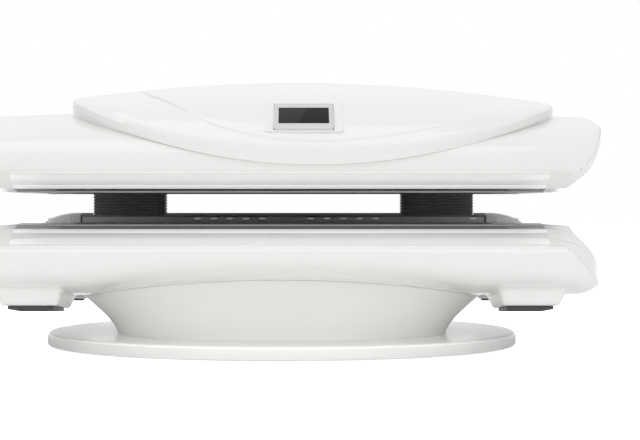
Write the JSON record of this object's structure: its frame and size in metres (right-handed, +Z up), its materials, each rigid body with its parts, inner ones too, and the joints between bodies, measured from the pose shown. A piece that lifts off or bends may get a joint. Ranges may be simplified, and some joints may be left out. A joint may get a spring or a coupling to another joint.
{
  "type": "light therapy bed",
  "caption": "Clamshell light therapy bed: white hull on a waisted pedestal and oval floor plate, rear-hinged canopy with a lens-shaped top fin and a small display.",
  "frame": {"origin": "middle of the floor pads' undersides, in the middle of the bed", "axes": "+X along the bed to the right as seen from the front, +Y to the hinge side, +Z up"},
  "size_m": [2.094, 1.176, 0.8897],
  "materials": {
    "white_shell": "gloss white moulded shell",
    "satin_metal": "satin extrusion",
    "dark_lip": "dark grey, satin",
    "clear_sheet": "clear acrylic sheet",
    "black_plastic": "satin black",
    "bellows_rubber": "matt black ribbed rubber",
    "light_board": "dark circuit board",
    "steel": "plain steel"
  },
  "bodies": {
    "base": {"floor_plate": "white_shell", "floor_pads": "black_plastic", "pedestal_shell": "white_shell", "pedestal_frame": "steel", "bed_frame": "steel", "hull_shell": "white_shell", "vent_grille_1": "black_plastic", "vent_grille_2": "black_plastic", "vent_grille_3": "black_plastic", "vent_grille_4": "black_plastic", "bed_rim_front": "white_shell", "bed_rim_rear": "white_shell", "bed_trim_front": "satin_metal", "bed_trim_rear": "satin_metal", "bed_lip_front": "dark_lip", "bed_lip_rear": "dark_lip", "bed_end_left": "white_shell", "bed_end_right": "white_shell", "bed_clear_sheet": "clear_sheet", "bed_light_boards": "light_board", "bed_light_tray": "steel", "power_supplies": "steel", "control_box": "black_plastic", "inlet_panel": "black_plastic", "mains_inlet": "black_plastic", "fan_housings": "black_plastic", "hinge_leaf_left": "steel", "hinge_leaf_right": "steel", "hinge_pins": "steel", "bellows_left": "bellows_rubber", "bellows_right": "bellows_rubber", "hinge_screws": "steel"},
    "canopy": {"canopy_shell": "white_shell", "canopy_rim_front": "white_shell", "canopy_rim_rear": "white_shell", "canopy_trim_front": "satin_metal", "canopy_trim_rear": "satin_metal", "canopy_lip_front": "dark_lip", "canopy_lip_rear": "dark_lip", "canopy_end_left": "white_shell", "canopy_end_right": "white_shell", "canopy_clear_sheet": "clear_sheet", "canopy_light_boards": "light_board", "canopy_light_tray": "steel", "canopy_frame": "steel", "canopy_leaf_left": "steel", "canopy_leaf_right": "steel", "fin_cover": "white_shell", "fin_plinth": "black_plastic", "display_bezel": "satin_metal", "display_screen": "black_plastic"},
    "strut_cylinder_left_body": {"strut_cylinder_left": "steel"},
    "strut_cylinder_right_body": {"strut_cylinder_right": "steel"},
    "strut_rod_left_body": {"strut_rod_left": "steel"},
    "strut_rod_right_body": {"strut_rod_right": "steel"},
    "fan_rotor_1_body": {"fan_rotor_1": "black_plastic"},
    "fan_rotor_2_body": {"fan_rotor_2": "black_plastic"},
    "fan_rotor_3_body": {"fan_rotor_3": "black_plastic"},
    "fan_rotor_4_body": {"fan_rotor_4": "black_plastic"},
    "rocker_body": {"switch_rocker": "black_plastic"}
  },
  "joints": [
    {"name": "canopy_hinge", "type": "hinge", "parent": "base", "child": "canopy", "pos_m": [0, 0.59, 0.4715], "axis": [-1, 0, 0], "range_deg": [0, 45], "deforming": ["bellows_left", "bellows_right"]},
    {"name": "strut_tilt_left", "type": "hinge", "parent": "base", "child": "strut_cylinder_left_body", "pos_m": [-0.583, 0.434, 0.3], "axis": [-1, 0, 0], "range_deg": [0, 21]},
    {"name": "strut_slide_left", "type": "slide", "parent": "strut_cylinder_left_body", "child": "strut_rod_left_body", "axis": [0, 0, 1], "range_m": [0, 0.101]},
    {"name": "strut_tilt_right", "type": "hinge", "parent": "base", "child": "strut_cylinder_right_body", "pos_m": [0.583, 0.434, 0.3], "axis": [-1, 0, 0], "range_deg": [0, 21]},
    {"name": "strut_slide_right", "type": "slide", "parent": "strut_cylinder_right_body", "child": "strut_rod_right_body", "axis": [0, 0, 1], "range_m": [0, 0.101]},
    {"name": "fan_1_spin", "type": "hinge", "parent": "base", "child": "fan_rotor_1_body", "pos_m": [-0.785, -0.26, 0.1936], "axis": [0, 0, 1], "continuous": true},
    {"name": "fan_2_spin", "type": "hinge", "parent": "base", "child": "fan_rotor_2_body", "pos_m": [0.785, -0.26, 0.1936], "axis": [0, 0, 1], "continuous": true},
    {"name": "fan_3_spin", "type": "hinge", "parent": "base", "child": "fan_rotor_3_body", "pos_m": [-0.785, 0.26, 0.1936], "axis": [0, 0, 1], "continuous": true},
    {"name": "fan_4_spin", "type": "hinge", "parent": "base", "child": "fan_rotor_4_body", "pos_m": [0.785, 0.26, 0.1936], "axis": [0, 0, 1], "continuous": true},
    {"name": "switch_rock", "type": "hinge", "parent": "base", "child": "rocker_body", "pos_m": [0.03, 0.259, 0.1], "axis": [1, 0, 0], "range_deg": [0, 16]}
  ],
  "couplings": [
    {"joint": "strut_tilt_left", "follows": "canopy_hinge", "ratio": 0.447},
    {"joint": "strut_slide_left", "follows": "canopy_hinge", "m_per_rad": 0.1272},
    {"joint": "strut_tilt_right", "follows": "canopy_hinge", "ratio": 0.447},
    {"joint": "strut_slide_right", "follows": "canopy_hinge", "m_per_rad": 0.1272}
  ]
}
